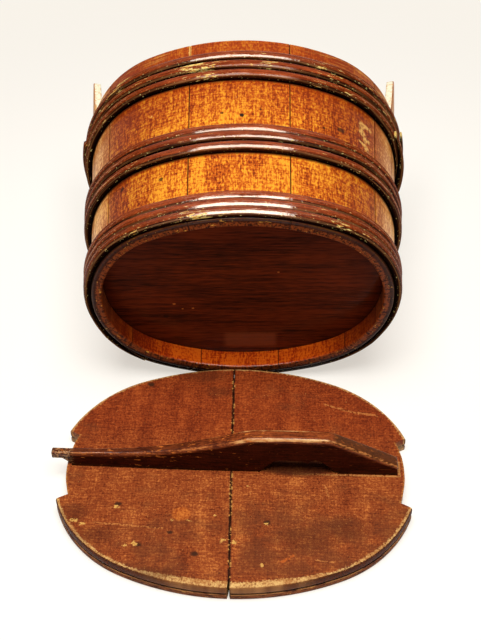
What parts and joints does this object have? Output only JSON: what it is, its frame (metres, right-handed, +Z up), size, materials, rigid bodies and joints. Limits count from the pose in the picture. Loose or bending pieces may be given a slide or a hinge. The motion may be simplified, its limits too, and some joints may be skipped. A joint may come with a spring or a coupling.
{
  "type": "lidded oval butter tub",
  "caption": "Oval coopered wooden tub with bands of split wooden hoops and two long ears, lying on its side, with its flat lid and carved locking bar in front.",
  "frame": {"origin": "on the floor, below the middle of the whole row's bounding box", "axes": "+Z up; +Y from the lid lying in front, past the tub's foot, to its mouth and ears; +X along the oval's long axis"},
  "size_m": [0.3477, 0.5735, 0.2634],
  "materials": {
    "stave_wood": "amber varnish, gloss, worn",
    "hoop_wood": "dark red-brown varnish, high gloss, chipped to pale wood",
    "bottom_wood": "very dark red-brown varnish, gloss",
    "lid_wood": "red-brown, satin, worn pale at the edge",
    "bar_wood": "dark brown, satin, worn edges"
  },
  "bodies": {
    "tub": {"ear_stave_left": "stave_wood", "ear_stave_right": "stave_wood", "upper_stave_right_end": "stave_wood", "upper_stave_right": "stave_wood", "upper_stave_middle": "stave_wood", "upper_stave_left": "stave_wood", "upper_stave_left_end": "stave_wood", "lower_stave_left_end": "stave_wood", "lower_stave_left": "stave_wood", "lower_stave_middle": "stave_wood", "lower_stave_right": "stave_wood", "lower_stave_right_end": "stave_wood", "bottom_board": "bottom_wood", "hoop_foot_1": "hoop_wood", "hoop_foot_2": "hoop_wood", "hoop_foot_3": "hoop_wood", "hoop_middle_1": "hoop_wood", "hoop_middle_2": "hoop_wood", "hoop_middle_3": "hoop_wood", "hoop_mouth_1": "hoop_wood", "hoop_mouth_2": "hoop_wood", "hoop_mouth_3": "hoop_wood"},
    "lid": {"lid_board_left": "lid_wood", "lid_board_right": "lid_wood", "lid_bar": "bar_wood"}
  },
  "joints": [
    {"name": "lid_lift", "type": "slide", "parent": "tub", "child": "lid", "axis": [0, -0.2588, 0.9659], "range_m": [0, 0.3]}
  ]
}
